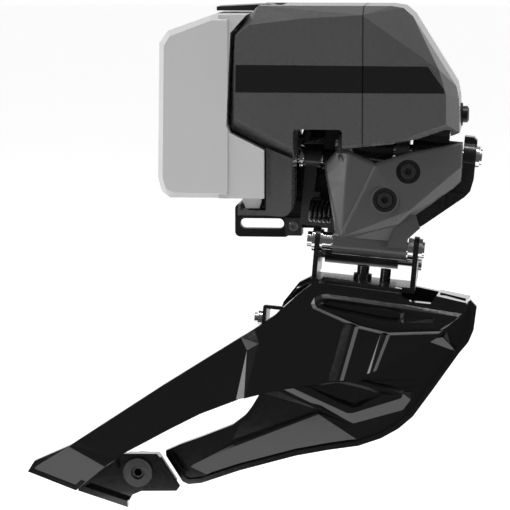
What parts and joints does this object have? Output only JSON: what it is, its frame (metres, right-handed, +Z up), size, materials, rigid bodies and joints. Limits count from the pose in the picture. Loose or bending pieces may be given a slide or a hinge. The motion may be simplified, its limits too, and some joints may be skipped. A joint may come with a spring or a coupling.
{
  "type": "front derailleur",
  "caption": "Motor-driven bicycle front derailleur with a removable battery, a swinging two-link arm and a long slanted chain cage.",
  "frame": {"origin": "mouth of the hanger bolt's thread, at the deepest line of the concave mount pad", "axes": "+Z up the seat tube, +Y inboard out of the mount pad towards the seat tube, +X forward along the chain"},
  "size_m": [0.1024, 0.0356, 0.1141],
  "materials": {
    "case_grey": "satin",
    "stripe_dark": "gloss",
    "battery_grey": "satin",
    "link_grey": "satin",
    "bracket_dark": "satin",
    "plate_black": "matt",
    "block_grey": "cast",
    "cage_black": "gloss",
    "pin_steel": "bright",
    "steel": "brushed",
    "screw_black": "satin",
    "rubber_black": "matt",
    "plastic_black": "matt",
    "brass": "machined",
    "board_green": "satin",
    "lens": "clear",
    "motor_can": "brushed"
  },
  "bodies": {
    "housing": {"rear_shell": "case_grey", "front_shell": "case_grey", "shell_seal": "rubber_black", "shell_screws": "screw_black", "rear_stripe": "stripe_dark", "front_stripe": "stripe_dark", "mount_bracket": "bracket_dark", "battery_tray": "case_grey", "support_plate": "plate_black", "support_block": "block_grey", "gearbox_frame": "steel", "motor": "motor_can", "circuit_board": "board_green", "contact_block": "plastic_black", "contact_pins": "brass", "status_lens": "lens", "button_seat": "rubber_black", "latch_pin": "pin_steel"},
    "outer_link": {"outer_link": "link_grey", "link_arm": "bracket_dark", "limit_washers": "rubber_black", "drive_sector": "screw_black", "upper_outer_pin": "pin_steel", "backlash_spring": "bracket_dark"},
    "inner_link": {"inner_link": "link_grey", "upper_inner_pin": "pin_steel"},
    "cage": {"cage_carrier": "bracket_dark", "lower_outer_pin": "pin_steel", "lower_inner_pin": "pin_steel", "pivot_sleeve": "pin_steel", "pivot_washer": "pin_steel", "carrier_screws": "screw_black", "outer_cage_plate": "cage_black", "inner_cage_plate": "cage_black", "cage_bridge": "cage_black", "skid_pads": "plastic_black", "rear_bracket": "bracket_dark", "rear_rivet": "pin_steel", "tail_spacer": "cage_black", "cage_screw": "screw_black", "cage_nut": "steel"},
    "drive_shaft": {"gear_shaft": "brass"},
    "motor_rotor": {"motor_pinion": "brass"},
    "high_limit": {"high_limit_screw": "screw_black"},
    "low_limit": {"low_limit_screw": "screw_black"},
    "support_bolt": {"support_screw": "steel"},
    "button": {"function_button": "plastic_black"},
    "battery_pack": {"battery": "battery_grey", "battery_contacts": "brass"},
    "latch": {"battery_latch": "plastic_black"}
  },
  "joints": [
    {"name": "outer_link_pivot", "type": "hinge", "parent": "housing", "child": "outer_link", "pos_m": [0.00108, -0.025, 0.01235], "axis": [0.9962, 0, -0.0872], "range_deg": [-14, 14]},
    {"name": "inner_link_pivot", "type": "hinge", "parent": "housing", "child": "inner_link", "pos_m": [0.00068, -0.013, 0.00777], "axis": [0.9962, 0, -0.0872], "range_deg": [-14, 14]},
    {"name": "cage_pivot", "type": "hinge", "parent": "outer_link", "child": "cage", "pos_m": [-0.00083, -0.025, -0.00946], "axis": [0.9962, 0, -0.0872], "range_deg": [-14, 14]},
    {"name": "drive_shaft_turn", "type": "hinge", "parent": "housing", "child": "drive_shaft", "pos_m": [0.00254, -0.0235, 0.02902], "axis": [0.9962, 0, -0.0872], "range_deg": [-84, 84]},
    {"name": "motor_turn", "type": "hinge", "parent": "housing", "child": "motor_rotor", "pos_m": [0.00306, -0.016, 0.03499], "axis": [0.9962, 0, -0.0872], "range_deg": [-252, 252]},
    {"name": "high_limit_turn", "type": "hinge", "parent": "outer_link", "child": "high_limit", "pos_m": [0.01995, -0.0305, 0.00659], "axis": [0, 1, 0], "range_deg": [-180, 180]},
    {"name": "low_limit_turn", "type": "hinge", "parent": "outer_link", "child": "low_limit", "pos_m": [0.01477, -0.0305, 0.00021], "axis": [0, 1, 0], "range_deg": [-180, 180]},
    {"name": "support_screw_turn", "type": "hinge", "parent": "housing", "child": "support_bolt", "pos_m": [-0.0075, -0.0073, -0.0086], "axis": [0, 1, 0], "range_deg": [-180, 180]},
    {"name": "button_press", "type": "slide", "parent": "housing", "child": "button", "axis": [-1, 0, 0], "range_m": [0, 0.0006], "stiffness_N_per_m": 600, "springref_m": -0.0008},
    {"name": "battery_tilt", "type": "hinge", "parent": "housing", "child": "battery_pack", "pos_m": [-0.015, -0.018, -0.0011], "axis": [0, -1, 0], "range_deg": [0, 12]},
    {"name": "latch_flip", "type": "hinge", "parent": "housing", "child": "latch", "pos_m": [-0.012, -0.018, 0.0414], "axis": [0, 1, 0], "range_deg": [0, 75]}
  ],
  "couplings": [
    {"joint": "inner_link_pivot", "follows": "outer_link_pivot", "ratio": 1},
    {"joint": "cage_pivot", "follows": "outer_link_pivot", "ratio": -1},
    {"joint": "drive_shaft_turn", "follows": "outer_link_pivot", "ratio": -6},
    {"joint": "motor_turn", "follows": "outer_link_pivot", "ratio": 18}
  ]
}
